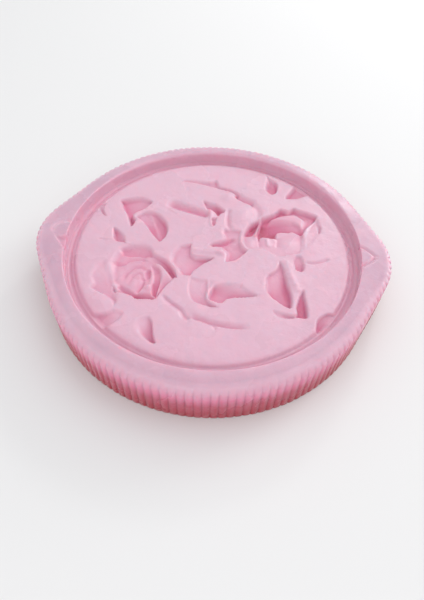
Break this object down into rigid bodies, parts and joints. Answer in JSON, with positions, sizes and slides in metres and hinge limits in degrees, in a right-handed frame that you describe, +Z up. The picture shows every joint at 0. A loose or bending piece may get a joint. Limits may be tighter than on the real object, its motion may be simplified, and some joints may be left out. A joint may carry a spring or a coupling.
{
  "type": "silicone soap mould",
  "caption": "Low round silicone mould with pointed ears, a ribbed outer wall and a shallow cavity with sunken roses and leaves.",
  "frame": {"origin": "middle of the flat underside, half way between the ears and half way between front and back", "axes": "+X along the line through both ears, +Y from front to back, +Z up out of the open cavity"},
  "size_m": [0.1618, 0.1504, 0.0223],
  "materials": {
    "silicone": "satin, slightly see-through pale pink silicone"
  },
  "bodies": {
    "root": {"floor_slab": "silicone", "rim_wall": "silicone", "relief_face": "silicone", "hole_peg_left": "silicone", "hole_peg_right": "silicone"}
  },
  "joints": []
}
